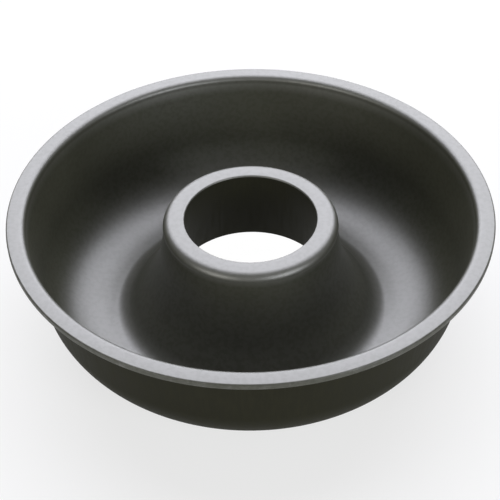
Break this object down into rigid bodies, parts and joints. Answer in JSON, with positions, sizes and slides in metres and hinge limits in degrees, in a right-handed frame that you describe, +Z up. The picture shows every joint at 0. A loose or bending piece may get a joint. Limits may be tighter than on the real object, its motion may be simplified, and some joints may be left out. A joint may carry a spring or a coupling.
{
  "type": "ring cake pan",
  "caption": "Round ring pan of dark coated steel for baking angel food cake, with a tapered wall, a rounded trough, a hollow centre and a flat rim folded over a wire.",
  "frame": {"origin": "centre of the pan, on the surface that it stands on", "axes": "+Z up along the axis of the pan, out of its mouth; X and Y level, in any direction around the axis"},
  "size_m": [0.24, 0.24, 0.067],
  "materials": {
    "nonstick_steel": "satin",
    "wire_steel": "satin"
  },
  "bodies": {
    "root": {"pan_shell": "nonstick_steel", "rim_wire": "wire_steel", "centre_tube": "nonstick_steel"}
  },
  "joints": []
}
